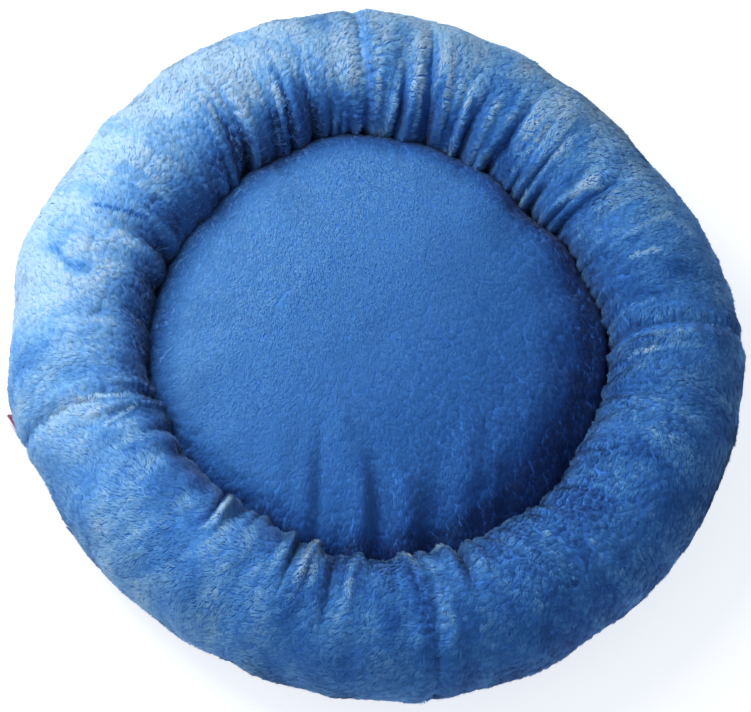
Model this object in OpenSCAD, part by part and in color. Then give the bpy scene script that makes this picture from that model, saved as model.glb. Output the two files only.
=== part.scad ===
// Round pet bed: a stuffed plush rim around a sewn-in cushion, on a flat base cloth.
// The bed stands on z = 0 with its axis on Z. The label side is at -X.

/* [Bed] */
// Diameter over the stuffed rim
bed_d = 600; // [450:10:900]
// Height of the rim above the floor
rim_h = 110; // [100:1:114]
// Width of the rim
rim_w = 115; // [110:1:120]
// Height of the cushion at its middle
cushion_h = 73; // [66:1:85]

/* [Cloth] */
// Thickness of the plush with its pile
plush_t = 4; // [2:0.5:6]
// Thickness of the woven base cloth
base_t = 1.2; // [0.6:0.2:2]
// Diameter of the sewing thread
thread_d = 0.8; // [0.4:0.1:0.9]

/* [Cross seams] */
// Direction of the cross seam on the right, in degrees from +X
right_seam = 2; // [0:1:20]
// Direction of the cross seam at the back
back_seam = 93; // [80:1:110]
// Direction of the cross seam on the left
left_seam = 198; // [180:1:210]
// Direction of the cross seam at the front
front_seam = 277; // [250:1:290]

/* [Labels] */
// Direction of the flag label, in degrees from +X
label_at = 190; // [180:1:200]
// Turn of both labels where they leave the hem, in degrees
label_turn = 22; // [0:1:30]
// Width of the flag label
label_w = 13; // [8:1:30]
// How far the flag label stands out of the hem
label_l = 27; // [15:1:30]
// Width of the care label
care_w = 24; // [15:1:40]
// How far the care label stands out of the hem
care_l = 21; // [10:1:25]
// Thickness of a folded label
label_t = 0.8; // [0.4:0.1:1.2]

/* [Hidden] */
$fn = 96;

plush_blue = [0.24, 0.50, 0.82];
cushion_blue = [0.20, 0.42, 0.72];
base_blue = [0.06, 0.09, 0.20];
fibre_white = [0.93, 0.93, 0.90];
thread_red = [0.30, 0.05, 0.07];
label_red = [0.32, 0.06, 0.10];
label_white = [0.88, 0.88, 0.90];

// Clearance between pieces that only lie against each other
gap = 0.3;
// Half the angle that a cross seam leaves between two cover panels
seam_half = 0.2;

// The rim's cross-section is a circle that the floor cuts flat below
rim_r = rim_w / 2;
rim_mid_r = bed_d / 2 - rim_r;
rim_mid_z = rim_h - rim_r;
// Where the cover ends on that circle, in degrees round it
hem_end = -52;
inner_end = 241;
// The base cloth turns up to the hem from where the circle meets the floor
base_turn = -asin(rim_mid_z / rim_r);
base_end = hem_end - 1.2;
base_flat_r = rim_mid_r + rim_r * cos(base_turn);

// The cushion: a low crown, a rounded shoulder and a foot that runs in under the rim
shoulder_r = 25;
shoulder_mid_r = rim_mid_r - rim_r - shoulder_r - 1;
shoulder_top_z = cushion_h - 10;
shoulder_mid_z = shoulder_top_z - shoulder_r;
crown_rise = cushion_h - shoulder_top_z;
crown_r = (shoulder_mid_r * shoulder_mid_r + crown_rise * crown_rise) / (2 * crown_rise);
foot_r = rim_mid_r + rim_r * cos(inner_end) - 2.6;
floor_z = base_t + gap;

// Middle of the inner seam's thread, between the cover's end and the cushion's foot
inner_seam_r = foot_r + 1.3;
inner_seam_z = floor_z + thread_d / 2 + 0.2;
// Middle of the hem's thread, on the rim's circle
hem_angle = (hem_end + base_end) / 2;
hem_line_r = rim_r - base_t / 2;
// The cross seams' threads run round the cover's middle layer
cross_line_r = rim_r - plush_t / 2;
// The labels leave the hem just below the rim's curve
label_start_r = rim_mid_r + rim_r * cos(hem_end) + 1.4;
flag_z = floor_z + 3.2;
care_z = floor_z + 1.4;

// Everything within a pie slice from one angle to another round the rim's middle
module slice(from, to, reach) {
    steps = 4;
    polygon(concat([[0, 0]], [
        for (i = [0 : steps])
            let (a = from + (to - from) * i / steps)
            reach * [cos(a), sin(a)]
    ]));
}

// Cross-section of a layer that follows the rim's circle between two angles
module rim_layer(outer_r, thickness, from, to) {
    translate([rim_mid_r, rim_mid_z])
        difference() {
            circle(r = outer_r);
            circle(r = outer_r - thickness);
            slice(to, from + 360, 4 * rim_r);
        }
}

// One plush panel of the rim's cover, from one cross seam to the next
module rim_cover(from, to) {
    color(plush_blue)
        rotate([0, 0, from + seam_half])
            rotate_extrude(angle = to - from - 2 * seam_half)
                rim_layer(rim_r, plush_t, hem_end, inner_end);
}

// Cross-section of the cushion, set in from its surface by a distance
module cushion_section(inset) {
    difference() {
        union() {
            intersection() {
                translate([0, cushion_h - crown_r])
                    circle(r = crown_r - inset, $fn = 720);
                square([shoulder_mid_r, cushion_h]);
            }
            translate([shoulder_mid_r, shoulder_mid_z])
                circle(r = shoulder_r - inset);
            square([foot_r - inset, shoulder_mid_z]);
        }
        translate([rim_mid_r, rim_mid_z])
            circle(r = rim_r + gap + inset);
        translate([0, -rim_h])
            square([bed_d, rim_h + floor_z]);
    }
}

module cushion_cover() {
    color(cushion_blue)
        rotate_extrude()
            difference() {
                cushion_section(0);
                cushion_section(plush_t);
            }
}

module cushion_filling() {
    color(fibre_white)
        rotate_extrude()
            cushion_section(plush_t + gap);
}

module rim_filling() {
    color(fibre_white)
        rotate_extrude()
            intersection() {
                translate([rim_mid_r, rim_mid_z])
                    circle(r = rim_r - plush_t - gap);
                translate([0, floor_z])
                    square([bed_d, rim_h]);
            }
}

// A flat disc that turns up at its edge to meet the cover at the hem
module base_cloth() {
    color(base_blue)
        rotate_extrude()
            union() {
                square([base_flat_r, base_t]);
                intersection() {
                    rim_layer(rim_r, base_t, base_turn - 2, base_end);
                    square([bed_d, rim_h]);
                }
            }
}

// A ring of thread at a radius and a height
module thread_ring(r, z) {
    color(thread_red)
        rotate_extrude()
            translate([r, z])
                circle(d = thread_d, $fn = 24);
}

module inner_seam_thread() {
    thread_ring(inner_seam_r, inner_seam_z);
}

module hem_seam_thread() {
    thread_ring(rim_mid_r + hem_line_r * cos(hem_angle), rim_mid_z + hem_line_r * sin(hem_angle));
}

// Thread of one cross seam, over the rim from the hem to the inner seam
module cross_seam_thread(at) {
    color(thread_red)
        rotate([0, 0, at])
            translate([rim_mid_r, 0, rim_mid_z])
                rotate([90, 0, 0])
                    rotate([0, 0, hem_end + 1])
                        rotate_extrude(angle = inner_end - hem_end - 2)
                            translate([cross_line_r, 0])
                                circle(d = thread_d, $fn = 24);
}

// A folded label that stands out of the hem, turned a little to one side
module label(at, w, l, z) {
    rotate([0, 0, at])
        translate([label_start_r + w / 2 * sin(label_turn), 0, z])
            rotate([0, 0, label_turn])
                translate([0, -w / 2, 0])
                    cube([l, w, label_t]);
}

module flag_label() {
    color(label_red)
        label(label_at, label_w, label_l, flag_z);
}

module care_label() {
    color(label_white)
        label(label_at, care_w, care_l, care_z);
}

rim_cover(right_seam, back_seam);  // rim_cover_back_right
rim_cover(back_seam, left_seam);  // rim_cover_back_left
rim_cover(left_seam, front_seam);  // rim_cover_front_left
rim_cover(front_seam, right_seam + 360);  // rim_cover_front_right
cushion_cover();
base_cloth();
rim_filling();
cushion_filling();
inner_seam_thread();
hem_seam_thread();
cross_seam_thread(right_seam);  // cross_seam_thread_right
cross_seam_thread(back_seam);  // cross_seam_thread_back
cross_seam_thread(left_seam);  // cross_seam_thread_left
cross_seam_thread(front_seam);  // cross_seam_thread_front
flag_label();
care_label();
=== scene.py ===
"""A round plush pet bed: a stuffed rim gathered onto a sewn-in cushion. Metres, +Z up, on z = 0."""

import math
from math import radians

import bpy
import numpy as np
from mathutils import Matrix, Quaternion, Vector, kdtree


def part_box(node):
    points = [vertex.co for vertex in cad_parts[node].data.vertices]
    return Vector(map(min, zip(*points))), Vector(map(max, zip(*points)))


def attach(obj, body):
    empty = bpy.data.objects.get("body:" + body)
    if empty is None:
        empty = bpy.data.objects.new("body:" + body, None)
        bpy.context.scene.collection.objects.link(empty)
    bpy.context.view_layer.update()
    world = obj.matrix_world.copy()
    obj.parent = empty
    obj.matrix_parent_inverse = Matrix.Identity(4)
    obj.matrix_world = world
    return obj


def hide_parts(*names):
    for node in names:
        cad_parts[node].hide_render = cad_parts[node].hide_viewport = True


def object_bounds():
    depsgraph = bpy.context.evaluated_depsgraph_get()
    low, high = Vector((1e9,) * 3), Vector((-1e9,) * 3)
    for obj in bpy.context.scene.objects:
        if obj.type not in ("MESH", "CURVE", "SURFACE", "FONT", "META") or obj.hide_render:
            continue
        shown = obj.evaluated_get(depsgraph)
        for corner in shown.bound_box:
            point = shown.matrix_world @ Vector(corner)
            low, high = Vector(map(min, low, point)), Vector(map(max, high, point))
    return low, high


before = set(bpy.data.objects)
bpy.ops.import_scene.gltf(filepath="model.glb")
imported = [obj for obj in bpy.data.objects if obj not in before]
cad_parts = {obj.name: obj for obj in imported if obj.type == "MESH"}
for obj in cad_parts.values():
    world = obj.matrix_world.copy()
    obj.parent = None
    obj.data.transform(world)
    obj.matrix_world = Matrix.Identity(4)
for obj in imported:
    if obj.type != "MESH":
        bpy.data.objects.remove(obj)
cad_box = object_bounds()
TAU = 2 * math.pi
UP = np.array([0.0, 0.0, 1.0])


# -------------------- measures taken from the frame

def direction(node):
    """Direction of a node's middle from the bed's axis, in radians from +X."""
    low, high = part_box(node)
    return math.atan2(low.y + high.y, low.x + high.x) % TAU


def reach(node):
    """How far a node's middle is from the bed's axis."""
    low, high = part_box(node)
    return math.hypot(low.x + high.x, low.y + high.y) / 2


SIDES = ("right", "back", "left", "front")
SEAMS = {side: direction("cross_seam_thread_" + side) for side in SIDES}
# A cross seam's thread goes right over the rim, so its middle is the middle of the stuffed rim
MID_R = reach("cross_seam_thread_right")
RIM_R = cad_box[1].x - MID_R
MID_Z = cad_box[1].z - RIM_R
CUSHION_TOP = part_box("cushion_cover")[1].z
HEM_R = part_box("hem_seam_thread")[1].x
HEM_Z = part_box("hem_seam_thread")[1].z
SEAM_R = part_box("inner_seam_thread")[1].x
SEAM_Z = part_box("inner_seam_thread")[1].z

# The pile stands on a ground cloth that lies this far under the CAD's plush surface
PILE_RISE = 0.0034
GROUND_R = RIM_R - PILE_RISE
CLOTH_T = 0.0008
BASE_T = 0.0012
# Where the rim's cover starts and ends, in radians round the stuffed rim from its outermost line
HEM_AT = radians(-52)
SEAM_AT = radians(241)

# A panel of the rim is cut as long as the rim's outer edge, and the inner seam gathers it
# The stuffing starts this far under a cover's face, and stands this far over the floor
STUFFING_IN = CLOTH_T + 0.0022
STUFFING_FOOT = BASE_T + 0.0008

# Points round the bed and over the rim
RIM_AROUND = 1440
RIM_ACROSS = 150
# Pleats that the inner seam draws the rim into
PLEATS = 184
GATHER_SEED = 11


# -------------------- small tools

def smoothstep(t):
    """0 below 0, 1 above 1, and a soft rise between."""
    t = np.clip(t, 0, 1)
    return t * t * (3 - 2 * t)


def rising(v, start, span):
    """0 before an angle, then a soft rise to 1 over a span of angle, all in degrees but v."""
    return smoothstep((v - radians(start)) / radians(span))


def falling(v, end, span):
    """1 well before an angle, with a soft fall to 0 over the span that ends there."""
    return smoothstep((radians(end) - v) / radians(span))


def turn_from(angle, other):
    """Signed angle from one direction to another, within half a turn."""
    return (angle - other + math.pi) % TAU - math.pi


def around(angle, *points):
    """Value at an angle, read from a smooth closed curve through (degrees, value) points."""
    at = np.degrees(angle) % 360
    degrees = np.array([points[-1][0] - 360] + [p[0] for p in points] + [points[0][0] + 360], float)
    values = np.array([points[-1][1]] + [p[1] for p in points] + [points[0][1]], float)
    k = np.clip(np.searchsorted(degrees, at, side="right") - 1, 0, len(degrees) - 2)
    t = smoothstep((at - degrees[k]) / (degrees[k + 1] - degrees[k]))
    return values[k] * (1 - t) + values[k + 1] * t


def waves(u, v, count, slow, fast, lean, seed):
    """Smooth noise of spread 1 that closes on itself round the bed."""
    g = np.random.default_rng(seed)
    total = np.zeros(np.broadcast(u, v).shape)
    for _ in range(count):
        k = int(g.integers(slow, fast + 1))
        total += np.cos(k * u + g.uniform(-lean, lean) * v + g.uniform(0, TAU))
    return total * math.sqrt(2 / count)


def polar(radius, u, z):
    """Points at a distance and an angle from the bed's axis, at a height."""
    return np.stack(np.broadcast_arrays(radius * np.cos(u), radius * np.sin(u), z), -1)


def unit(vectors):
    """Vectors of the same directions and of length 1."""
    return vectors / (np.linalg.norm(vectors, axis=-1, keepdims=True) + 1e-12)


def new_object(name, data):
    """An object in the scene."""
    obj = bpy.data.objects.new(name, data)
    bpy.context.scene.collection.objects.link(obj)
    return obj


def mesh_piece(name, points, faces, materials, slot_of_face=None):
    """A smooth-shaded mesh object from arrays of points and of same-sized faces."""
    mesh = bpy.data.meshes.new(name)
    points = np.ascontiguousarray(points, np.float32).reshape(-1, 3)
    faces = np.ascontiguousarray(faces, np.int32)
    sides = faces.shape[1]
    mesh.vertices.add(len(points))
    mesh.vertices.foreach_set("co", points.ravel())
    mesh.loops.add(faces.size)
    mesh.loops.foreach_set("vertex_index", faces.ravel())
    mesh.polygons.add(len(faces))
    mesh.polygons.foreach_set("loop_start", np.arange(0, faces.size, sides, dtype=np.int32))
    mesh.polygons.foreach_set("loop_total", np.full(len(faces), sides, np.int32))
    for material in materials:
        mesh.materials.append(material)
    if slot_of_face is not None:
        mesh.polygons.foreach_set("material_index", np.ascontiguousarray(slot_of_face, np.int32))
    mesh.update(calc_edges=True)
    mesh.shade_smooth()
    return new_object(name, mesh)


def grid_normals(p, closed):
    """Normals of a grid of points; closed says that the first direction runs round the bed."""
    if closed:
        along = np.roll(p, -1, 0) - np.roll(p, 1, 0)
    else:
        along = np.gradient(p, axis=0)
    return unit(np.cross(along, np.gradient(p, axis=1)))


def corners(a, b, c, d):
    """Quads from four grids of their corners' numbers."""
    return np.stack([x.ravel() for x in (a, b, c, d)], 1)


def two_faces(top, normals, thickness):
    """Points of a thin shell's upper and under faces, and their numbers on the upper grid."""
    points = np.concatenate([top.reshape(-1, 3), (top - normals * thickness).reshape(-1, 3)])
    return points, np.arange(top.shape[0] * top.shape[1]).reshape(top.shape[:2])


def shell(top, normals, thickness):
    """Points and quads of a closed, thin shell under a patch of grid points."""
    points, number = two_faces(top, normals, thickness)
    under = number.size
    upper = corners(number[:-1, :-1], number[1:, :-1], number[1:, 1:], number[:-1, 1:])
    quads = [upper, upper[:, ::-1] + under]
    edge = np.concatenate([number[:, 0], number[-1, 1:], number[-2::-1, -1], number[0, -2:0:-1]])
    after = np.roll(edge, -1)
    quads.append(np.stack([edge, edge + under, after + under, after], 1))
    return points, np.concatenate(quads)


def ring_shell(top, normals, thickness):
    """Points and quads of a closed, thin shell under a grid that runs right round the bed."""
    points, number = two_faces(top, normals, thickness)
    under = number.size
    after = np.roll(number, -1, 0)
    upper = corners(number[:, :-1], after[:, :-1], after[:, 1:], number[:, 1:])
    quads = [upper, upper[:, ::-1] + under]
    for edge, step in ((number[:, 0], after[:, 0]), (after[:, -1], number[:, -1])):
        quads.append(np.stack([edge, edge + under, step + under, step], 1))
    return points, np.concatenate(quads)


# -------------------- the rim's shape

def beside_line(u, v, at, lean, inner, outer):
    """How far up a line on the rim places are, as a share of it, and how far they are beside it."""
    along = (radians(inner) - v) / radians(inner - outer)
    path = np.radians(at) + np.radians(lean) * np.clip(along, 0, 1.2)
    return along, turn_from(u, path) * (MID_R + GROUND_R * np.cos(v))


def crease(u, v, at, lean, inner, outer, depth, width, ridge):
    """One gathered crease running over the rim: a groove with a soft fold standing on each side."""
    along, beside = beside_line(u, v, at, lean, inner, outer)
    x = np.abs(beside) / width
    fade = falling(v, inner, 10) * smoothstep((1 - along) / 0.45)
    groove = np.exp(-x ** 1.4)
    folds = np.exp(-((x - 2.3) / 1.1) ** 2)
    return depth * fade * (ridge * folds - groove)


def fold(u, v, at, lean, inner, outer, height, width):
    """A fold of cloth that stands up from the rim."""
    along, beside = beside_line(u, v, at, lean, inner, outer)
    ends = falling(v, inner, 10) * smoothstep((1 - along) / 0.4)
    return height * ends * np.exp(-(beside / width) ** 2)


def gathers(u, v, seed):
    """The many small pleats that the inner seam draws the cover into; most die out on the way up."""
    g = np.random.default_rng(seed)
    total = np.zeros_like(u)
    for k in range(PLEATS):
        at = (k + g.uniform(-0.4, 0.4)) * 360 / PLEATS
        crowd = around(radians(at), (20, 0.45), (50, 0.75), (90, 0.95), (120, 0.8), (138, 0.25),
                       (178, 0.16), (198, 0.4), (222, 0.3), (252, 0.7), (285, 0.55), (330, 0.35))
        outer = 158 - g.gamma(1.8, 32) * crowd
        depth = g.uniform(0.0014, 0.0048) * crowd
        near = np.abs(turn_from(u[:, 0], radians(at))) < radians(14)
        total[near] += crease(u[near], v[near], at, g.normal(0, 2.0), 246, max(outer, 35), depth,
                              g.uniform(0.0019, 0.0034), 0.5)
    return total


def named_creases(u, v):
    """The deep creases and standing folds, each at its own place round the rim."""
    # Degrees round the bed, lean, how far up the rim it dies out, depth, width, ridge beside it
    creases = (
        (76, 4.5, 30, 0.0065, 0.0050, 0.35), (36, -2.5, 70, 0.0050, 0.0045, 0.35),
        (347, -2, 80, 0.0040, 0.0045, 0.35), (287.5, -2, 80, 0.0070, 0.0045, 0.5),
        (257.5, 0, 40, 0.0055, 0.0055, 0.4), (249.5, -1, 70, 0.0045, 0.0032, 0.4),
        (207, 1, 95, 0.0040, 0.0045, 0.35), (124, 2, 85, 0.0085, 0.0065, 0.3),
        (158, 2, 82, 0.0070, 0.0055, 0.4), (114.5, 1, 75, 0.0045, 0.0040, 0.35),
        (103.5, 3, 85, 0.0045, 0.0040, 0.35), (68.5, -3, 72, 0.0040, 0.0040, 0.35),
        (59, -2, 70, 0.0042, 0.0040, 0.35), (312, 2, 105, 0.0030, 0.0050, 0.35),
        (236, -2, 95, 0.0030, 0.0045, 0.35), (226.6, 5, 85, 0.0050, 0.0035, 0.1),
    )
    # Degrees round the bed, lean, where it starts and dies out over the rim, height, width
    folds = (
        (200.6, 0.5, 176, 72, 0.0040, 0.0026), (195.8, -0.5, 172, 100, 0.0030, 0.0030),
        (358.6, 0, 172, 95, 0.0030, 0.0032), (252.8, -1.5, 178, 75, 0.0034, 0.0026),
        (247.0, 1.0, 172, 95, 0.0030, 0.0024), (228.5, 5, 176, 88, 0.0044, 0.0028),
    )
    total = np.zeros_like(u)
    for at, lean, outer, depth, width, ridge in creases:
        total += crease(u, v, at, lean, 200, outer, depth, width, ridge)
    for row in folds:
        total += fold(u, v, *row)
    return total


def drawn_in(u, v):
    """How far creases, seams and pleats raise or lower the rim's cover."""
    return named_creases(u, v) + seam_grooves(u, v) + gathers(u, v, GATHER_SEED)


def stroke(u, v, start, end, bow, width):
    """How fully places lie on a stroke; its ends are (degrees round the bed, degrees over the rim)."""
    share = np.clip((np.degrees(v) - start[1]) / (end[1] - start[1]), 0, 1)
    path = np.radians(start[0] + (end[0] - start[0]) * share + bow * np.sin(math.pi * share))
    beside = turn_from(u, path) * (MID_R + GROUND_R * np.cos(v))
    before = np.maximum(radians(start[1]) - v, 0)
    beyond = np.maximum(v - radians(end[1]), 0)
    return np.exp(-(beside ** 2 + (GROUND_R * (before + beyond)) ** 2) / width ** 2)


def strokes(u, v, rows):
    """Strokes added up, each with its strength, its two ends, its bow and its width."""
    return sum(row[0] * stroke(u, v, *row[1:]) for row in rows)


def raised_highlit_strokes(u, v):
    """Thin ridges where the pile stands pulled up: they raise the cover, and the pile on them is painted
    pale as a painted highlight.
    """
    return strokes(u, v, (
        (1, (197.2, 80), (199, 156), 1.4, 0.0014),
        (1, (204.2, 88), (201.8, 122), 0.4, 0.0013),
        (1, (231.2, 96), (228.4, 158), 1.5, 0.0015),
        (1, (251.6, 101), (252.8, 157), -0.6, 0.0020),
        (1, (255.0, 128), (255.4, 158), 0.3, 0.0014),
        (1, (286.0, 136), (283.0, 160), 0.3, 0.0014),
    ))


def sheen_and_shade_strokes(u, v):
    """Strokes where the pile is painted pale (more than nothing), as painted sheen, or deep (less than
    nothing), as painted shade.
    """
    return strokes(u, v, (
        (1.5, (16.8, 98), (17.8, 124), 0.2, 0.0022),
        (1.5, (356.5, 118), (356.2, 144), 0.2, 0.0022),
        (0.9, (19.5, 62), (23.5, 81), 1, 0.0075),
        (0.8, (37, 116), (39.5, 148), 1, 0.0060),
        (-2.6, (158.4, 82), (156.2, 122), 0.3, 0.0018),
        (-2.4, (168.0, 62), (171.2, 88), 1.0, 0.0075),
        (-1.1, (251.8, 70), (256.5, 132), 1.0, 0.0040),
        (-0.8, (259.6, 96), (260.0, 140), 0.2, 0.0030),
        (-0.9, (276.0, 58), (272.5, 150), 0.5, 0.0035),
    ))


def seam_grooves(u, v):
    """Each cross seam draws the cover in on a line over the rim, and puckers it on both sides."""
    total = np.zeros_like(u)
    for k, at in enumerate(SEAMS.values()):
        x = turn_from(u, at) * (MID_R + GROUND_R * np.cos(v))
        uneven = 0.75 + 0.25 * np.sin(5.0 * v + 2.1 * k) * np.sin(11.0 * v + k)
        total -= 0.0024 * uneven * np.exp(-np.abs(x / 0.0040) ** 1.3)
        total += 0.0011 * np.exp(-((np.abs(x) - 0.012) / 0.007) ** 2)
        close = np.exp(-((np.abs(x) - 0.007) / 0.006) ** 2)
        total += 0.0007 * (np.sin(34 * v + 3 * np.sin(7 * v + k) + np.sign(x)) * close)
    return total


def outline(u):
    """How far the rim's outside stands out of round."""
    return 0.001 * around(
        u, (0, 6.8), (14, -0.2), (32, -4.2), (52, -5.4), (75, 6.0), (89, 9.6), (104, 7.2), (120, 0.4),
        (136, -5), (150, -7), (165, 3.6), (180, -3), (193, 3.4), (208, -0.6), (225, -3.2), (240, -2),
        (256, 0), (270, 4), (285, -1.5), (302, 2), (316, 0.8), (330, -0.8), (345, 2))


def inner_edge(u):
    """How far the rim's inside stands out of round; less than nothing bulges over the cushion."""
    return 0.001 * around(
        u, (6, 8), (26, 4), (46, -2), (62, 3), (80, 7), (97, 9), (118, 0), (140, -8), (170, -4), (196, 4),
        (215, 0), (233, -4), (257, 3.2), (285, -1), (328, -3.2), (345, 3))


def rim_rise(u, v):
    """How far the ground cloth stands off its even round section, along the section's radius."""
    toward_seam = rising(v, 20, 190)
    free = smoothstep((v - HEM_AT) / radians(22)) * smoothstep((SEAM_AT - v) / radians(16))
    rise = waves(u, v, 16, 3, 11, 1.2, 3) * 0.0013
    rise += waves(u, v, 26, 12, 34, 3.0, 4) * 0.0007
    rise += waves(u, v, 30, 30, 80, 5.0, 5) * (0.0002 + 0.0004 * toward_seam)
    rise += drawn_in(u, v)
    rise += 0.0012 * raised_highlit_strokes(u, v)
    return rise * free


def rim_points(u, v):
    """Points of the rim's ground cloth at angles u round the bed and v round the stuffed section."""
    pulled = 1 - smoothstep((v - HEM_AT) / radians(16)) * smoothstep((SEAM_AT - v) / radians(14))
    section = GROUND_R + (PILE_RISE - CLOTH_T) * pulled + rim_rise(u, v)
    shift = outline(u) * np.clip(np.cos(v), 0, 1) + inner_edge(u) * np.clip(-np.cos(v), 0, 1)
    shift *= 1 - pulled
    radius = MID_R + section * np.cos(v) + shift
    return polar(radius, u, MID_Z + section * np.sin(v))


def rim_grid():
    """Angles round the bed and over the rim of every point of the rim's cover."""
    u = np.linspace(0, TAU, RIM_AROUND, endpoint=False)
    v = np.linspace(HEM_AT, SEAM_AT, RIM_ACROSS)
    return np.meshgrid(u, v, indexing="ij")


# -------------------- the cushion's shape

CUSHION_AROUND = 720
CUSHION_ACROSS = 110


def cushion_profile():
    """Radius and height of the cushion's ground cloth from its middle, over its shoulder, to its foot."""
    shoulder = 0.014
    flat_r = MID_R - RIM_R - 0.015
    top = CUSHION_TOP - PILE_RISE
    flat_z = top - 0.0105
    r = np.linspace(0.0, flat_r, 60)
    z = top - (top - flat_z) * (r / flat_r) ** 2.2
    turn = np.linspace(0, math.pi / 2, 26)[1:]
    r = np.concatenate([r, flat_r + shoulder * np.sin(turn)])
    z = np.concatenate([z, flat_z - shoulder * (1 - np.cos(turn))])
    down = np.linspace(0, 1, 24)[1:]
    r = np.concatenate([r, r[-1] + (SEAM_R - 0.002 - r[-1]) * down])
    z = np.concatenate([z, z[-1] + (SEAM_Z + 0.0005 - z[-1]) * down])
    return r, z


def cushion_grid():
    """Angles and shares of the way to the foot of every point of the cushion's cover, foot first."""
    u = np.linspace(0, TAU, CUSHION_AROUND, endpoint=False)
    s = np.linspace(0, 1, CUSHION_ACROSS)[::-1]
    return np.meshgrid(u, s, indexing="ij")


def cushion_points(u, s):
    """Points of the cushion's ground cloth; s runs from its middle (0) to its foot (1) along the cloth."""
    r, z = cushion_profile()
    length = np.concatenate([[0], np.cumsum(np.hypot(np.diff(r), np.diff(z)))])
    radius = np.interp(s, length / length[-1], r)
    height = np.interp(s, length / length[-1], z)
    radius = radius + inner_edge(u) * smoothstep((radius - 0.10) / 0.07) * smoothstep((1 - s) / 0.2)
    puckers = waves(u, s * 3, 12, 60, 100, 2, 23) * 0.0008 * smoothstep((s - 0.72) / 0.2)
    return polar(radius + puckers * smoothstep((1 - s) / 0.06), u, height)


def cushion_lift(p, s):
    """How far soft folds raise or lower the cushion's cover."""
    x, y = p[..., 0], p[..., 1]
    u, radius = np.arctan2(y, x), np.hypot(x, y)
    front = np.exp(-(turn_from(u, radians(268)) / radians(40)) ** 2)
    right = np.exp(-(turn_from(u, radians(330)) / radians(50)) ** 2)
    swell = 0.0014 * np.sin(31 * x + 9 * y + 1.0) * np.cos(27 * y - 6 * x)
    # Folds run in from the front edge, nearly side by side, and die out at different distances
    reach_in = smoothstep((radius - 0.070 - 0.022 * np.sin(48 * x + 0.5)) / 0.075)
    folds = np.sin(118 * x + 14 * y + 1.3 * np.sin(33 * x) + 0.9) * 0.0052 * front * reach_in
    folds = folds + np.sin(205 * x - 22 * y + 2.0 * np.sin(41 * x + 2)) * 0.0016 * front * reach_in
    edge = smoothstep((radius - 0.10) / 0.06)
    folds = folds + waves(u, radius * 30, 8, 9, 18, 1.5, 22) * 0.0009 * edge
    # The cushion is pressed down where the rim leans in over it at the right
    dip = 0.0250 * right * smoothstep((radius - 0.128) / 0.062)
    return (swell + folds - dip) * smoothstep((0.97 - s) / 0.2) * smoothstep(radius / 0.02)


# -------------------- materials

def srgb(r, g, b):
    """A linear colour from 0-255 display values."""
    def linear(c):
        c = c / 255
        return c / 12.92 if c <= 0.04045 else ((c + 0.055) / 1.055) ** 2.4
    return (linear(r), linear(g), linear(b), 1.0)


def dial(node, **values):
    """Sets a node's inputs; their names are written with underscores for spaces."""
    for name, value in values.items():
        node.inputs[name.replace("_", " ")].default_value = value


def new_material(name):
    """A material, its nodes and its main shader."""
    material = bpy.data.materials.new(name)
    material.use_nodes = True
    return material, material.node_tree, material.node_tree.nodes["Principled BSDF"]


def pile_material(name, colour):
    """Plain, soft fibre; the pile's strands are modelled, so it needs no texture."""
    material, _, shader = new_material(name)
    dial(shader, Base_Color=colour, Roughness=0.75, Specular_IOR_Level=0.12, Sheen_Weight=0.17,
         Sheen_Roughness=0.6, Sheen_Tint=srgb(196, 224, 255))
    return material


# The ground cloth is painted paler on the side toward the window, as painted window light
WINDOW_SIDE_AT = radians(150)


def painted_window_light(tree, place, colour, lit_colour):
    """A cloth's colour, blended toward a paler one on the side toward the window, as painted window light.
    """
    add, link = tree.nodes.new, tree.links.new
    toward = add("ShaderNodeVectorMath")
    toward.operation = "DOT_PRODUCT"
    toward.inputs[1].default_value = (math.cos(WINDOW_SIDE_AT), math.sin(WINDOW_SIDE_AT), 0)
    share = add("ShaderNodeMapRange")
    dial(share, From_Min=MID_R * 0.35, From_Max=MID_R)
    blend = add("ShaderNodeMix")
    blend.data_type = "RGBA"
    blend.inputs["B"].default_value = lit_colour
    link(place, toward.inputs[0])
    link(toward.outputs["Value"], share.inputs["Value"])
    link(share.outputs["Result"], blend.inputs["Factor"])
    link(colour, blend.inputs["A"])
    return blend.outputs["Result"]


def ribbed_relief(tree, place, knit):
    """Fine ribs that cross two ways."""
    add, link = tree.nodes.new, tree.links.new
    both = add("ShaderNodeMath")
    both.operation = "MULTIPLY"
    for number, way in enumerate("XY"):
        rib = add("ShaderNodeTexWave")
        rib.bands_direction = way
        dial(rib, Scale=knit / TAU, Distortion=1.2, Detail=1.0)
        link(place, rib.inputs["Vector"])
        link(rib.outputs["Fac"], both.inputs[number])
    relief = add("ShaderNodeBump")
    dial(relief, Strength=0.25, Distance=0.0004)
    link(both.outputs["Value"], relief.inputs["Height"])
    return relief.outputs["Normal"]


def cloth_material(name, dark, light, knit=900.0, rough=0.85, sheen=0.2, lit_colour=None):
    """Knitted or woven cloth, matt and uneven in colour, and painted paler toward the window, as painted
    light, when a lit colour is given.
    """
    material, tree, shader = new_material(name)
    add, link = tree.nodes.new, tree.links.new
    place = add("ShaderNodeTexCoord").outputs["Object"]
    cloudy = add("ShaderNodeTexNoise")
    dial(cloudy, Scale=26.0, Detail=6.0)
    ramp = add("ShaderNodeValToRGB")
    ramp.color_ramp.elements[0].position = 0.32
    ramp.color_ramp.elements[0].color = dark
    ramp.color_ramp.elements[1].position = 0.70
    ramp.color_ramp.elements[1].color = light
    link(place, cloudy.inputs["Vector"])
    link(cloudy.outputs["Fac"], ramp.inputs["Fac"])
    colour = ramp.outputs["Color"]
    if lit_colour is not None:
        colour = painted_window_light(tree, place, colour, lit_colour)
    link(colour, shader.inputs["Base Color"])
    link(ribbed_relief(tree, place, knit), shader.inputs["Normal"])
    dial(shader, Roughness=rough, Sheen_Weight=sheen, Sheen_Roughness=0.5)
    return material


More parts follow.
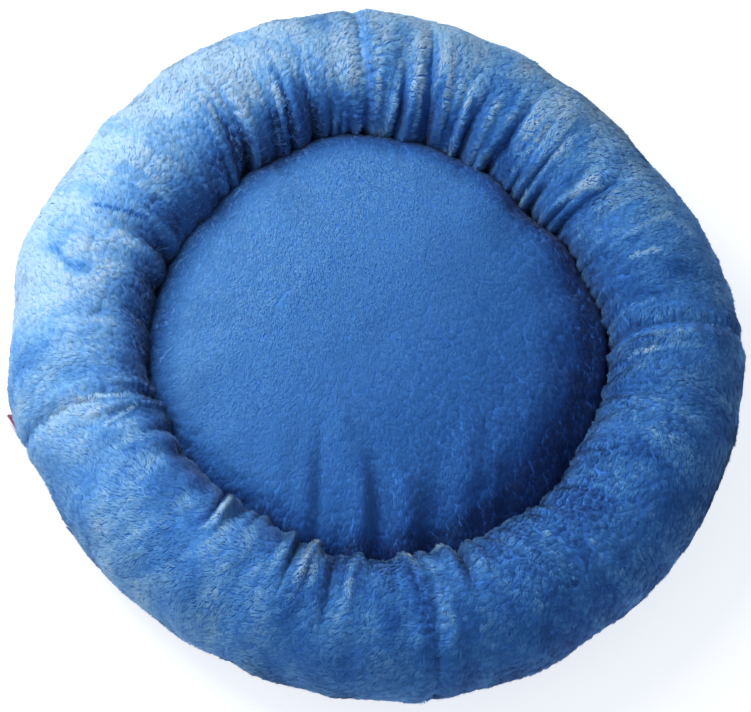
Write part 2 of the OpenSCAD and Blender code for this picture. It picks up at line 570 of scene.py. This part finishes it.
# Pile tones from the deepest blue, seen down into the pile, to the palest, where its tips catch the light
TONE_STOPS = ((17, 47, 100), (27, 76, 146), (42, 100, 171), (68, 128, 193), (110, 160, 206),
              (152, 184, 213))
TONES_PER_STOP = 2


def tone_materials():
    """The pile's materials, from the deepest tone to the palest."""
    tones = []
    for step in range(TONES_PER_STOP * (len(TONE_STOPS) - 1) + 1):
        low = min(step // TONES_PER_STOP, len(TONE_STOPS) - 2)
        share = step / TONES_PER_STOP - low
        shade = [a + (b - a) * share for a, b in zip(TONE_STOPS[low], TONE_STOPS[low + 1])]
        tones.append(pile_material(f"pile tone {step + 1}", srgb(*shade)))
    return tones


TONES = tone_materials()


def tone_of(level, spread, g):
    """Each strand's tone: its level, counted in stops from the deepest blue, and a little chance."""
    near = np.round(TONES_PER_STOP * (level + g.normal(0, spread, len(level))))
    return np.clip(near, 0, len(TONES) - 1).astype(int)


# The ground cloth under the pile; its paler colour toward the window is painted light
GROUND = cloth_material("plush ground cloth", srgb(26, 92, 176), srgb(44, 116, 200),
                        lit_colour=srgb(96, 150, 208))
BASE = cloth_material("base cloth", srgb(16, 30, 66), srgb(26, 44, 88), 2600.0, 0.7)
FIBRE = cloth_material("polyester fibre filling", srgb(214, 214, 208), srgb(240, 240, 236), 300.0, 0.95)
THREAD = cloth_material("polyester thread", srgb(88, 14, 26), srgb(120, 22, 36), 5200.0, 0.55)
FLAG = cloth_material("flag label satin", srgb(96, 12, 34), srgb(132, 22, 48), 4200.0, 0.4, 0.1)
CARE = cloth_material("care label satin", srgb(196, 190, 220), srgb(226, 222, 240), 4200.0, 0.45, 0.1)


# -------------------- pile

# How many strands the rim and the cushion have, and how many one piece of pile holds at most
RIM_COUNT = 450000
CUSHION_COUNT = 200000
MOST_STRANDS = 33000
RIM_PILE_SEED = 31
CUSHION_PILE_SEED = 61
# Width of a tuft, and about how much plush there is to share out into tufts
RIM_TUFT = 0.0045
CUSHION_TUFT = 0.0046
RIM_PLUSH = 0.40
CUSHION_PLUSH = 0.15
# Strands start this far under the ground cloth's face
ROOT_DEPTH = 0.0003


def scatter(p, normals, weight, closed, count, g):
    """Random points spread by area and weight: a reader of any grid at them, the points, their normals."""
    nu, nv = p.shape[:2]
    after = np.roll(p, -1, 0) if closed else p[1:]
    here = p if closed else p[:-1]
    area = np.linalg.norm(np.cross(after[:, :-1] - here[:, :-1], here[:, 1:] - here[:, :-1]), axis=-1)
    chance = (area * weight[: area.shape[0], :-1]).ravel()
    cell = np.searchsorted(np.cumsum(chance) / chance.sum(), g.random(count))
    i, j = np.divmod(np.minimum(cell, chance.size - 1), nv - 1)
    a, b = g.random(count), g.random(count)
    i2 = (i + 1) % nu

    def mixed(grid):
        a_, b_ = (a[:, None], b[:, None]) if grid.ndim == 3 else (a, b)
        low = grid[i, j] * (1 - a_) + grid[i2, j] * a_
        high = grid[i, j + 1] * (1 - a_) + grid[i2, j + 1] * a_
        return low * (1 - b_) + high * b_

    return mixed, mixed(p), unit(mixed(normals))


def tufts(roots, up, spacing, area, g):
    """The tuft that each strand belongs to, and the way from its root to the tuft's middle, in spacings."""
    count = int(area / spacing ** 2)
    middles = roots[g.choice(len(roots), count, replace=False)]
    tree = kdtree.KDTree(count)
    for number, middle in enumerate(middles):
        tree.insert(middle, number)
    tree.balance()
    owner = np.array([tree.find(root)[1] for root in roots])
    way = middles[owner] - roots
    way = way - up * (way * up).sum(-1, keepdims=True)
    return owner, count, way / spacing


# A strand is a bent spindle: a root, a ring of three part way up, and a tip
STRAND_FACES = np.array([[0, 1, 2], [0, 2, 3], [0, 3, 1], [2, 1, 4], [3, 2, 4], [1, 3, 4]])


def strands(roots, normals, nap, length, width, rise, way, spacing, g):
    """Points of bent strands that start off steeply, then lie over toward the nap and into their tuft."""
    nap = unit(nap - normals * (nap * normals).sum(-1, keepdims=True))
    side = unit(np.cross(normals, nap))
    first = unit(normals * np.sin(rise)[:, None] + nap * np.cos(rise)[:, None])
    low = np.maximum(rise - radians(30), radians(5))
    second = normals * np.sin(low)[:, None] + nap * np.cos(low)[:, None]
    second = unit(second + side * g.normal(0, 0.2, (len(roots), 1)))
    thick = unit(np.cross(side, first))
    half, length = (width / 2)[:, None], length[:, None]
    middle = roots + first * length * 0.45
    tip = middle + second * length * 0.55 + way * spacing
    middle = middle + way * spacing * 0.4
    triangle = ((1.0, -0.3), (0.0, 0.6), (-1.0, -0.3))
    ring = [middle + side * half * a + thick * half * b for a, b in triangle]
    # Light soaks through a fine pile, so a strand is shaded partly as the small mound of its tuft
    mound = unit(normals - way)
    soft = [unit(mound * 0.9 + side * a * 0.4 + thick * b * 0.4) for a, b in triangle]
    return np.stack([roots] + ring + [tip], 1), np.stack([mound] + soft + [unit(mound + second * 0.35)], 1)


def repeated(faces, points):
    """Faces of one strand or stitch, repeated for every one in an array of points."""
    return (faces[None] + points.shape[1] * np.arange(len(points))[:, None, None]).reshape(-1, 3)


def pile(name, points, shading, tones):
    """A piece of pile from its strands' points and normals, each strand in one tone."""
    faces = repeated(STRAND_FACES, points)
    piece = mesh_piece(name, points, faces, TONES, np.repeat(tones, len(STRAND_FACES)))
    piece.data.normals_split_custom_set_from_vertices(shading.reshape(-1, 3))
    return piece


def turned(along, across, angle):
    """A direction that lies at an angle from one tangent toward another."""
    return along * np.cos(angle)[:, None] + across * np.sin(angle)[:, None]


def declare(piece, nodes):
    """Hangs a piece on the root and hides the CAD nodes that it stands for."""
    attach(piece, "root")
    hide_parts(*nodes)
    return piece


def pile_pieces(name, node, order, points, shading, tone):
    """Pieces of pile, taking the strands in this order, none of them too large."""
    for n, part in enumerate(np.array_split(order, math.ceil(len(order) / MOST_STRANDS))):
        declare(pile(f"{name}_{n + 1}", points[part], shading[part], tone[part]), [node])


# -------------------- building the rim

PANELS = ("rim_cover_back_right", "rim_cover_back_left", "rim_cover_front_left", "rim_cover_front_right")


def panel_of(u):
    """Which of the four panels an angle lies on, from the right-hand seam anticlockwise."""
    starts = [SEAMS[s] for s in SIDES]
    return sum((((u - starts[0]) % TAU) >= ((s - starts[0]) % TAU)).astype(int) for s in starts[1:])


def build_rim():
    """The rim's cover: four panels, from the right-hand seam anticlockwise."""
    u, v = rim_grid()
    p = rim_points(u, v)
    normals = grid_normals(p, True)
    starts = [int(round(SEAMS[s] / TAU * RIM_AROUND)) for s in SIDES]
    for k, node in enumerate(PANELS):
        first, last = starts[k], starts[(k + 1) % 4]
        if last <= first:
            last += RIM_AROUND
        take = np.unique(np.append(np.arange(first, last + 1, 2), last)) % RIM_AROUND
        points, faces = shell(p[take], normals[take], CLOTH_T)
        panel = declare(mesh_piece(node + "_cloth", points, faces, [GROUND]), [node])
    return u, v, p, normals


def rim_growth(v):
    """How thickly the pile grows over the rim: thinner on the underside, none down at the seams."""
    hem = smoothstep((v - HEM_AT) / radians(6))
    return hem * falling(v, 222, 14) * (0.6 + 0.4 * rising(v, -30, 25))


def rim_nap(roots, up, along, at_u, heading):
    """Which way the pile lies; beside a cross seam it leans over the seam and hides it."""
    nap = turned(along, unit(np.cross(up, along)), heading)
    for at in SEAMS.values():
        beside = turn_from(at_u, at) * np.hypot(roots[:, 0], roots[:, 1])
        over = 1.6 * np.exp(-(beside / 0.0055) ** 2)
        nap = nap - along * (np.sign(beside) * over)[:, None]
    return unit(nap)


def rim_tufting(at_u, at_v):
    """How strongly the pile draws together into tufts, round the bed and over the rim."""
    tufted = around(at_u, (15, 0.16), (60, 0.20), (120, 0.33), (180, 0.30), (220, 0.17), (260, 0.20),
                    (310, 0.32), (345, 0.24))
    return tufted * (1 + 0.2 * rising(at_v, 60, 60))


def crevice_shade(at_u, at_v):
    """How much painted shade darkens the pile down in the crevice, most on the side toward the window."""
    low = rising(at_v, 106, 44)
    shade = low * around(at_u, (0, 0.3), (45, 1.3), (85, 1.7), (118, 3.2), (175, 3.2), (205, 2.2),
                         (225, 2.2), (250, 0.7), (270, 0.0))
    high = 0.9 * rising(at_v, 72, 34)
    shade += high * around(at_u, (25, 0.2), (50, 0.6), (85, 0.6), (115, 0.9), (145, 1.0), (185, 0.8),
                           (205, 0.1), (300, 0.0))
    return shade


def lip_fringe(at_u, at_v):
    """The lip's own edge catches the light along the front."""
    fringe = np.exp(-(turn_from(at_v, radians(158)) * GROUND_R / 0.0022) ** 2)
    return fringe * np.exp(-(turn_from(at_u, radians(270)) / radians(20)) ** 4)


def rim_level(relief, at_u, at_v):
    """How pale the rim's pile is, in stops of tone, before its tufts; most of it is painted light and
    shade, with some random streaks and patches.
    """
    # Painted light and shade round the bed: the pile is painted paler on the side toward the window and
    # deeper on the far side
    painted_window_side = around(at_u, (5, 0.05), (30, 1.25), (48, 1.6), (72, 1.65), (100, 2.0), (130, 2.6), (165, 2.8),
                     (177, 2.6), (190, 1.3), (210, 0.6), (228, 1.25), (242, 0.8), (260, 0.2), (295, -0.3),
                     (325, -0.2))
    drawn = around(at_u, (15, 0.4), (60, 1.0), (115, 1.0), (150, 0.4), (200, 0.3), (255, 0.6), (320, 0.4))
    up_rim = rising(at_v, 55, 70)
    streaks = waves(at_u, at_v, 36, 80, 210, 3, 48) * 0.5 * drawn * up_rim
    patches = waves(at_u, at_v, 20, 3, 16, 3, 44) * 0.27 + waves(at_u, at_v, 24, 20, 60, 9, 45) * 0.22
    flat = smoothstep((waves(at_u, at_v, 16, 6, 30, 3, 46) - 0.75) / 0.5)
    ruffled = smoothstep((waves(at_u, at_v, 16, 8, 40, 4, 47) - 0.95) / 0.5)
    # Painted highlight on the tops of the folds and painted shade down in the grooves, read from the
    # cloth's relief
    crest_highlight_crease_shade = 0.8 * smoothstep((relief - 0.5) / 1.8) - 1.1 * smoothstep((-relief - 0.5) / 2.2)
    # Painted highlights on the raised ridges and along the lip's edge, and strokes of painted sheen and
    # shade
    lines = 1.6 * raised_highlit_strokes(at_u, at_v) + sheen_and_shade_strokes(at_u, at_v) + 1.3 * lip_fringe(at_u, at_v)
    level = 1.60 + lines + streaks + painted_window_side - crevice_shade(at_u, at_v) + patches
    level = level - 0.6 * flat + 0.5 * ruffled
    return level + crest_highlight_crease_shade * around(at_u, (5, 0.5), (60, 1.1), (120, 1.0), (170, 0.6), (220, 0.6),
                                   (255, 0.9), (300, 0.6))


def rim_pile(u, v, p, normals):
    """The rim's pile: strands that lie with the nap and lean into tufts, in tones from deep to pale."""
    g = np.random.default_rng(RIM_PILE_SEED)
    mixed, roots, up = scatter(p, normals, rim_growth(v), True, RIM_COUNT, g)
    outward = unit(mixed(np.stack([np.cos(u), np.sin(u)], -1)))
    at_u = np.arctan2(outward[:, 1], outward[:, 0]) % TAU
    at_v = mixed(v)
    along = unit(mixed(unit(np.roll(p, -1, 0) - np.roll(p, 1, 0))))
    swirl = waves(at_u, at_v, 18, 2, 12, 2.0, 41) * 0.45 + waves(at_u, at_v, 18, 15, 45, 8, 42) * 0.20
    tuft, tuft_count, way = tufts(roots, up, RIM_TUFT, RIM_PLUSH, g)
    heading = radians(225) + swirl + g.normal(0, 0.30, tuft_count)[tuft] + g.normal(0, 0.18, RIM_COUNT)
    nap = rim_nap(roots, up, along, at_u, heading)
    rise = g.normal(36, 6, RIM_COUNT) + g.normal(0, 6, tuft_count)[tuft]
    rise = np.radians(np.clip(rise + waves(at_u, at_v, 14, 8, 30, 6, 43) * 6, 18, 70))
    length = g.uniform(0.0038, 0.0052, RIM_COUNT) * g.uniform(0.85, 1.2, tuft_count)[tuft]
    width = g.uniform(0.00048, 0.00074, RIM_COUNT)
    tufted = rim_tufting(at_u, at_v)
    lean = way * tufted[:, None]
    points, shading = strands(roots - up * ROOT_DEPTH, up, nap, length, width, rise, lean, RIM_TUFT, g)
    level = rim_level(mixed(drawn_in(u, v)) * 1000, at_u, at_v)
    uneven = around(at_u, (20, 0.18), (120, 0.20), (200, 0.16), (255, 0.22), (310, 0.40), (350, 0.26))
    level = level + g.normal(0, 1, tuft_count)[tuft] * uneven
    # Strands at a tuft's edge are painted deeper than at its middle: painted shade between the tufts
    tone = tone_of(1 + (level + 1.2 * tufted * (0.42 - np.linalg.norm(way, axis=1))), 0.15, g)
    owner = panel_of(at_u)
    for k, node in enumerate(PANELS):
        mine = np.flatnonzero(owner == k)
        mine = mine[np.argsort(at_u[mine] + (at_u[mine] < SEAMS[SIDES[k]]) * TAU)]
        pile_pieces(node + "_pile", node, mine, points, shading, tone)


# -------------------- the rest of the soft parts

def triangles(quads):
    """Two triangles for each quad."""
    return np.concatenate([quads[:, [0, 1, 2]], quads[:, [0, 2, 3]]])


def fan(ring, middle):
    """Triangles from a closed ring of point numbers to a middle point."""
    return np.stack([ring, np.roll(ring, -1), np.full(len(ring), middle)], 1)


def disc_shell(top, normals, thickness):
    """A closed, thin shell under a grid whose last ring lies close round the bed's axis."""
    points, quads = ring_shell(top, normals, thickness)
    nu, nv = top.shape[:2]
    last = np.arange(nu) * nv + nv - 1
    under = nu * nv
    # The ring's own inner wall is left out, and the two faces are closed over the axis instead
    faces = triangles(quads[:-nu])
    middles = [points[last].mean(0), points[last + under].mean(0)]
    points = np.concatenate([points, middles])
    count = len(points)
    return points, np.concatenate([faces, fan(last, count - 2), fan(last[::-1] + under, count - 1)])


def body(grid):
    """A closed solid from a grid that starts close round the bed's axis below and ends there above."""
    nu, nv = grid.shape[:2]
    number = np.arange(nu * nv).reshape(nu, nv)
    after = np.roll(number, -1, 0)
    quads = corners(number[:, :-1], after[:, :-1], after[:, 1:], number[:, 1:])
    points = np.concatenate([grid.reshape(-1, 3), [grid[:, 0].mean(0), grid[:, -1].mean(0)]])
    ends = [fan(number[::-1, 0], nu * nv), fan(number[:, -1], nu * nv + 1)]
    return points, np.concatenate([triangles(quads)] + ends)


# The cushion's cover is blown up for this many frames
SIM_FRAMES = 8


def settled(points, faces, held, frames, pressure, most):
    """Where a closed cover's points end after a short cloth simulation that blows it up."""
    mesh = bpy.data.meshes.new("simulated")
    mesh.from_pydata(points.tolist(), [], faces.tolist())
    trial = new_object("simulated", mesh)
    scene = bpy.context.scene
    group = trial.vertex_groups.new(name="held")
    group.add([int(k) for k in np.flatnonzero(held)], 1.0, "REPLACE")
    cloth = trial.modifiers.new("Cloth", "CLOTH")
    cloth.settings.vertex_group_mass = "held"
    cloth.settings.quality = 6
    cloth.settings.mass = 0.15
    cloth.settings.bending_stiffness = 0.2
    cloth.settings.use_pressure = True
    cloth.settings.uniform_pressure_force = pressure
    cloth.settings.shrink_min = -0.02
    cloth.settings.effector_weights.gravity = 0.0
    cloth.collision_settings.use_collision = False
    cloth.point_cache.frame_start, cloth.point_cache.frame_end = 1, frames + 1
    scene.frame_start, scene.frame_end = 1, frames + 1
    for number in range(1, frames + 1):
        scene.frame_set(number)
    seen = trial.evaluated_get(bpy.context.evaluated_depsgraph_get()).to_mesh()
    found = np.empty(len(points) * 3, np.float32)
    seen.vertices.foreach_get("co", found)
    bpy.data.objects.remove(trial)
    scene.frame_set(1)
    moved = found.reshape(-1, 3) - points
    size = np.linalg.norm(moved, axis=1, keepdims=True) + 1e-12
    return points + moved * np.minimum(1, most / size)


def spread(coarse, nu, nv, step_u, step_v):
    """A closed coarse grid of moves read off smoothly at every point of the full grid."""
    i, a = np.divmod(np.arange(nu) / step_u, 1)
    j = np.minimum(np.arange(nv) / step_v, coarse.shape[1] - 1.001)
    b, j = j - np.floor(j), np.floor(j).astype(int)
    i = i.astype(int)
    i2 = (i + 1) % coarse.shape[0]
    a, b = smoothstep(a)[:, None, None], smoothstep(b)[None, :, None]
    low = coarse[i][:, j] * (1 - a) + coarse[i2][:, j] * a
    high = coarse[i][:, j + 1] * (1 - a) + coarse[i2][:, j + 1] * a
    return low * (1 - b) + high * b


def blown_cushion(p):
    """The cushion's cover after the simulation: its foot is sewn down, and pressure rounds the rest."""
    step_u, step_v = 4, 2
    coarse = p[::step_u, :-1:step_v]
    u = np.arctan2(coarse[:, 0, 1], coarse[:, 0, 0])
    edge = np.hypot(coarse[:, 0, 0], coarse[:, 0, 1])
    under = [polar(edge * k / 9, u, coarse[:, 0, 2]) for k in range(1, 9)]
    grid = np.concatenate([np.stack(under, 1), coarse], 1)
    points, faces = body(grid)
    held = np.zeros(len(points), bool)
    held[: grid.shape[0] * grid.shape[1]].reshape(grid.shape[:2])[:, :11] = True
    held[-2] = True
    blown = settled(points, faces, held, SIM_FRAMES, 4.0, 0.006)
    moved = (blown - points)[: grid.shape[0] * grid.shape[1]].reshape(grid.shape)[:, 8:]
    return p + spread(moved, p.shape[0], p.shape[1], step_u, step_v)


def build_cushion():
    """The cushion's round cover, with the fullness that the stuffing gives it."""
    u, s = cushion_grid()
    p = cushion_points(u, s)
    p = blown_cushion(p)
    p[..., 2] += cushion_lift(p, s)
    normals = grid_normals(p, True)
    points, faces = disc_shell(p[::2, :-1], normals[::2, :-1], CLOTH_T)
    cover = mesh_piece("cushion_cover_cloth", points, faces, [GROUND])
    declare(cover, ["cushion_cover"])
    return s, p, normals


def cushion_trend(roots):
    """How pale the cushion's pile is, in stops of tone, before its tufts, set by painted light and shade,
    and its angle round the bed.
    """
    at = np.arctan2(roots[:, 1], roots[:, 0])
    out = np.hypot(roots[:, 0], roots[:, 1]) - inner_edge(at)
    # The pile is painted darker toward the front right, away from the window, and darker still near its
    # edge and where the rim leans over it: all painted shade
    toward = radians(-42)
    trend = 1.53 - (roots[:, 0] * math.cos(toward) + roots[:, 1] * math.sin(toward)) / 0.19 * 1.45
    trend = np.minimum(trend, 2.2)
    trend -= 1.1 * smoothstep((out - 0.158) / 0.020) + 0.5 * smoothstep((out - 0.172) / 0.008)
    shaded = np.exp(-(turn_from(at, radians(332)) / radians(50)) ** 2)
    trend -= shaded * (0.8 * smoothstep((out - 0.125) / 0.045) + 1.5 * smoothstep((out - 0.150) / 0.022))
    return trend, at


def cushion_pile(s, p, normals):
    """The cushion's pile: shorter strands that all lie one way, in tones from deep to pale."""
    g = np.random.default_rng(CUSHION_PILE_SEED)
    _, roots, up = scatter(p, normals, smoothstep((0.90 - s) / 0.05), True, CUSHION_COUNT, g)
    tuft, tuft_count, way = tufts(roots, up, CUSHION_TUFT, CUSHION_PLUSH, g)
    heading = radians(250) + 0.5 * np.sin(9 * roots[:, 0] + 4 * roots[:, 1] + 1)
    heading = heading + g.normal(0, 0.28, tuft_count)[tuft] + g.normal(0, 0.16, CUSHION_COUNT)
    nap = np.stack([np.cos(heading), np.sin(heading), np.zeros(CUSHION_COUNT)], 1)
    trend, at = cushion_trend(roots)
    rise = np.radians(np.clip(g.normal(30, 5, CUSHION_COUNT), 15, 60))
    length = g.uniform(0.0034, 0.0050, CUSHION_COUNT)
    width = g.uniform(0.00046, 0.00070, CUSHION_COUNT)
    tufted = 0.05 + 0.21 * smoothstep((1.9 - trend) / 1.6)
    lean = way * tufted[:, None]
    points, shading = strands(roots - up * ROOT_DEPTH, up, nap, length, width, rise, lean, CUSHION_TUFT, g)
    # A random tone for each tuft, and painted shade between the tufts: strands at a tuft's edge are painted
    # deeper
    trend += g.normal(0, 0.8, tuft_count)[tuft] * tufted + tufted * (0.42 - np.linalg.norm(way, axis=1))
    tone = tone_of(1 + trend, 0.11, g)
    pile_pieces("cushion_pile", "cushion_cover", np.argsort(at), points, shading, tone)


def build_cushion_filling(p, normals):
    """The stuffing inside the cushion, from its flat underside to just under its cover."""
    inside = (p - normals * STUFFING_IN)[::2, 6:-1:2]
    u = np.arctan2(inside[:, 0, 1], inside[:, 0, 0])
    inside[..., 2] = np.maximum(inside[..., 2], STUFFING_FOOT + 0.001)
    edge = np.hypot(inside[:, 0, 0], inside[:, 0, 1])
    rings = [polar(edge * share, u, STUFFING_FOOT) for share in np.linspace(0.02, 0.985, 14)]
    grid = np.concatenate([np.stack(rings, 1), inside], 1)
    points, faces = body(grid)
    filling = mesh_piece("cushion_filling_fibre", points, faces, [FIBRE])
    declare(filling, ["cushion_filling"])


def build_rim_filling(u, v, p, normals):
    """The stuffing inside the rim: under the cover all round, and resting on the base cloth below."""
    inside = (p - normals * STUFFING_IN)[::3, 4:-4:2]
    columns = u[::3, 0]
    below = []
    for t in np.linspace(0, 1, 14)[1:-1]:
        turn = v[0, -5] + (TAU - v[0, -5] + v[0, 4]) * t
        radius = MID_R + (GROUND_R - 0.003) * math.cos(turn)
        height = max(MID_Z + (GROUND_R - 0.003) * math.sin(turn), STUFFING_FOOT)
        below.append(polar(radius, columns, height))
    grid = np.concatenate([inside, np.stack(below, 1)], 1)
    grid[..., 2] = np.maximum(grid[..., 2], STUFFING_FOOT)
    nu, nv = grid.shape[:2]
    number = np.arange(nu * nv).reshape(nu, nv)
    a, b = number, np.roll(number, -1, 0)
    c, d = np.roll(b, -1, 1), np.roll(a, -1, 1)
    quads = corners(a, b, c, d)
    filling = mesh_piece("rim_filling_fibre", grid, quads, [FIBRE])
    declare(filling, ["rim_filling"])


def build_base():
    """The flat base cloth, its edge turned up all round and puckered where the hem gathers it."""
    u = np.linspace(0, TAU, 540, endpoint=False)
    turn = np.linspace(0, radians(62), 14)
    bend = 0.0125
    flat_end = HEM_R - 0.0012 - bend * math.sin(turn[-1])
    r = np.concatenate([flat_end + bend * np.sin(turn[::-1]), np.linspace(flat_end, 0.004, 60)[1:]])
    z = np.concatenate([BASE_T + bend * (1 - np.cos(turn[::-1])), np.full(59, BASE_T)])
    z = z + (HEM_Z + 0.0006 - z[0]) * (z - BASE_T) / (z[0] - BASE_T)
    grow = smoothstep((r - flat_end + 0.02) / (HEM_R - flat_end + 0.02))
    pucker = waves(u, 0 * u, 20, 70, 130, 0, 71)[:, None] * 0.00045 * grow[None]
    radius = r[None] + pucker
    height = np.broadcast_to(z[None], radius.shape) + 0.4 * np.abs(pucker)
    grid = polar(radius, u[:, None], height)
    points, faces = disc_shell(grid, grid_normals(grid, True), BASE_T)
    points[:, 2] = np.maximum(points[:, 2], 0.0)
    base = declare(mesh_piece("base_cloth_sheet", points, faces, [BASE]), ["base_cloth"])


def stitches(name, node, path, normals, closed):
    """A row of lock stitches: each a short length of thread that dips into the cloth at both ends."""
    pitch, long, radius, sides = 0.0040, 0.0033, 0.00040, 6
    path_next = np.roll(path, -1, 0) if closed else path[1:]
    here = path if closed else path[:-1]
    length = np.concatenate([[0], np.cumsum(np.linalg.norm(path_next - here, axis=1))])
    line = np.concatenate([path, path[:1]]) if closed else path
    out = np.concatenate([normals, normals[:1]]) if closed else normals
    count = int(length[-1] // pitch)
    starts = (np.arange(count) + 0.1) * length[-1] / count

    def at(distance, values):
        return np.stack([np.interp(distance, length, values[:, k]) for k in range(3)], -1)

    rings = []
    stations = ((0, 0.45, 0.5), (0.15, 1, 0.1), (0.5, 1, -0.35), (0.85, 1, 0.1), (1, 0.45, 0.5))
    for share, size, sink in stations:
        centre, up = at(starts + share * long, line), unit(at(starts + share * long, out))
        ahead = unit(at(starts + share * long + 0.0004, line) - at(starts + share * long - 0.0004, line))
        side = np.cross(up, ahead)
        centre = centre - up * radius * sink
        for k in range(sides):
            a = TAU * k / sides
            rings.append(centre + (side * math.cos(a) + up * math.sin(a)) * radius * size)
    points = np.stack(rings, 1)
    faces = []
    for ring in range(4):
        for k in range(sides):
            a, b = ring * sides + k, ring * sides + (k + 1) % sides
            faces += [[b, a, a + sides], [b, a + sides, b + sides]]
    for k in range(1, sides - 1):
        faces += [[0, k, k + 1], [4 * sides, 4 * sides + k + 1, 4 * sides + k]]
    faces = repeated(np.array(faces), points)
    declare(mesh_piece(name, points, faces, [THREAD]), [node])


def build_stitches(p, normals):
    """The thread of the four cross seams, which lies low in the pile, and of the two round seams."""
    for side in SIDES:
        k = int(round(SEAMS[side] / TAU * RIM_AROUND)) % RIM_AROUND
        node = "cross_seam_thread_" + side
        line, up = p[k, 1:-1], normals[k, 1:-1]
        stitches(node + "_stitches", node, line - up * 0.0001, up, False)
    for node, column in (("hem_seam_thread", 1), ("inner_seam_thread", -2)):
        line, up = p[:, column], normals[:, column]
        stitches(node + "_stitches", node, line + up * 0.0002, up, True)


def label_turn(reach_x, reach_y, width):
    """Angle from -X of a rectangle of known width whose box has these sides."""
    best = np.linspace(0, math.pi / 3, 2000)
    length = (reach_x - width * np.sin(best)) / np.cos(best)
    return best[np.argmin(np.abs(width * np.cos(best) + length * np.sin(best) - reach_y))]


def ribbon(name, node, material, size, centre_line):
    """A woven label along a line of (distance from the hem, height), turned as the CAD's label is."""
    width, thickness = size
    low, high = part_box(node)
    reach_x, reach_y = high.x - low.x, high.y - low.y
    # The CAD's label is a plain rectangle, so its turned length and width give its direction
    way = math.pi + label_turn(reach_x, reach_y, width)
    out = np.array([math.cos(way), math.sin(way), 0])
    side = np.array([-math.sin(way), math.cos(way), 0])
    middle = np.array([(low.x + high.x) / 2, (low.y + high.y) / 2, 0])
    length = (reach_x - width * abs(math.sin(way))) / abs(math.cos(way))
    start = middle - out * length / 2
    line = np.array(centre_line)
    steps = np.concatenate([[0], np.cumsum(np.linalg.norm(np.diff(line, axis=0), axis=1))])
    even = np.linspace(0, steps[-1], 60)
    away, height = np.interp(even, steps, line[:, 0]), np.interp(even, steps, line[:, 1])
    for _ in range(6):
        away[1:-1] = (away[:-2] + 2 * away[1:-1] + away[2:]) / 4
        height[1:-1] = (height[:-2] + 2 * height[1:-1] + height[2:]) / 4
    across = np.linspace(-width / 2, width / 2, 14)
    grid = start + out * away[:, None, None] + UP * height[:, None, None] + side * across[None, :, None]
    grid = grid + UP * (0.0006 * np.cos(across / width * math.pi))[None, :, None]
    points, faces = shell(grid, grid_normals(grid, False), thickness)
    label = declare(mesh_piece(name, points, faces, [material]), [node])


def build_labels():
    """The red label, folded back on itself, and the care label under it."""
    loop = [(0.000, 0.0075), (0.009, 0.0078), (0.0170, 0.0105), (0.0195, 0.0165), (0.0188, 0.0175),
            (0.0150, 0.0122), (0.008, 0.0096), (0.000, 0.0090)]
    ribbon("flag_label_ribbon", "flag_label", FLAG, (0.013, 0.0004), loop)
    tongue = [(0.000, 0.0060), (0.008, 0.0050), (0.0165, 0.0035)]
    ribbon("care_label_ribbon", "care_label", CARE, (0.024, 0.0003), tongue)


rim = build_rim()
rim_pile(*rim)
build_rim_filling(*rim)
build_stitches(*rim[2:])
cushion = build_cushion()
cushion_pile(*cushion)
build_cushion_filling(*cushion[1:])
build_base()
build_labels()


# -------------------- stage, light and camera

# The lights and the camera face this point, half way up the bed
AIM = Vector((0, 0, 0.05))


def place_at(azimuth, elevation, distance):
    """A place in this direction, in degrees, and at this distance from the bed's foot."""
    az, el = radians(azimuth), radians(elevation)
    flat = distance * math.cos(el)
    return Vector((flat * math.cos(az), flat * math.sin(az), distance * math.sin(el)))


def build_stage():
    """A plain, pale floor, just low enough not to share a face with the bed's underside."""
    material, _, shader = new_material("pale floor")
    dial(shader, Base_Color=(0.38, 0.38, 0.39, 1), Roughness=0.9, Emission_Color=(0.95, 0.97, 1.0, 1),
         Emission_Strength=0.77)
    half = 6.0
    square = [(-half, -half, 0), (half, -half, 0), (half, half, 0), (-half, half, 0)]
    floor = mesh_piece("floor", square, [[0, 1, 2, 3]], [material])
    floor.location.z = -0.0005


def area_light(name, azimuth, elevation, distance, size, watts, colour):
    """A soft, square light that faces the bed."""
    light = bpy.data.lights.new(name, "AREA")
    light.energy = watts
    light.size = size
    light.color = colour
    lamp = new_object(name, light)
    lamp.location = place_at(azimuth, elevation, distance)
    lamp.rotation_euler = (AIM - lamp.location).to_track_quat("-Z", "Y").to_euler()


def build_light():
    """A soft room, a window on the left of the photograph's view, and a weaker light left of the camera."""
    world = bpy.data.worlds.new("soft room")
    world.use_nodes = True
    dial(world.node_tree.nodes["Background"], Color=(0.80, 0.89, 1.0, 1), Strength=0.48)
    bpy.context.scene.world = world
    area_light("window", 147, 47, 1.12, 0.80, 16.0, (1.0, 0.985, 0.965))
    area_light("room", 208, 38, 1.25, 0.95, 3.0, (0.95, 0.98, 1.0))


def build_camera():
    """The photograph's view, from above and from the front, a little turned about the line of sight."""
    distance, roll = 2.8, radians(18)
    # The picture's width, at the bed
    view_width = 0.611564
    camera = bpy.data.cameras.new("camera")
    camera.sensor_width = 36
    camera.lens = distance / view_width * camera.sensor_width
    camera.shift_x = -0.00133
    camera.shift_y = -0.00999
    holder = new_object("camera", camera)
    away = place_at(252, 64.1, distance)
    holder.location = away + AIM
    holder.rotation_mode = "QUATERNION"
    holder.rotation_quaternion = (-away).to_track_quat("-Z", "Y") @ Quaternion((0, 0, 1), roll)
    bpy.context.scene.camera = holder


build_stage()
build_light()
build_camera()
bpy.context.scene.view_settings.view_transform = "Standard"
